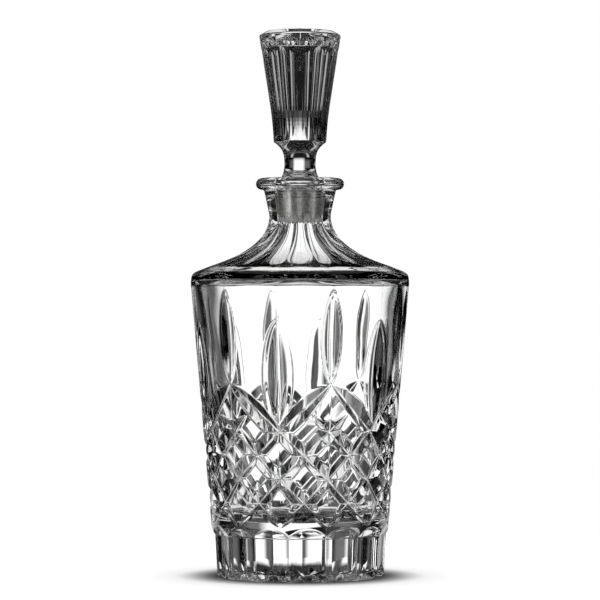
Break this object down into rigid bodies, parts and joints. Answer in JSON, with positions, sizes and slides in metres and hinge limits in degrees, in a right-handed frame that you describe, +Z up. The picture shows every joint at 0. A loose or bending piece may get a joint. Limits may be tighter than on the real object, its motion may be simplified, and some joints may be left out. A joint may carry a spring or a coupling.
{
  "type": "wine decanter",
  "caption": "Tapered cut-glass wine decanter with crossed V-groove lattice, leaf cuts, fluted foot and shoulder, and a lift-out flaring glass stopper with a sealing sleeve.",
  "frame": {"origin": "on the table, under the centre of the foot", "axes": "+Z up along the axis of the bottle and stopper, -Y towards the viewer"},
  "size_m": [0.1106, 0.1106, 0.2766],
  "materials": {
    "body_glass": "clear polished",
    "stopper_glass": "clear polished",
    "seal_sleeve": "translucent satin"
  },
  "bodies": {
    "decanter": {"decanter_body": "body_glass"},
    "seal": {"stopper_seal": "seal_sleeve"},
    "stopper": {"stopper": "stopper_glass"}
  },
  "joints": [
    {"name": "stopper_lift", "type": "slide", "parent": "decanter", "child": "seal", "axis": [0, 0, 1], "range_m": [0, 0.045]},
    {"name": "stopper_twist", "type": "hinge", "parent": "seal", "child": "stopper", "pos_m": [0, 0, 0.19], "axis": [0, 0, 1], "continuous": true}
  ]
}
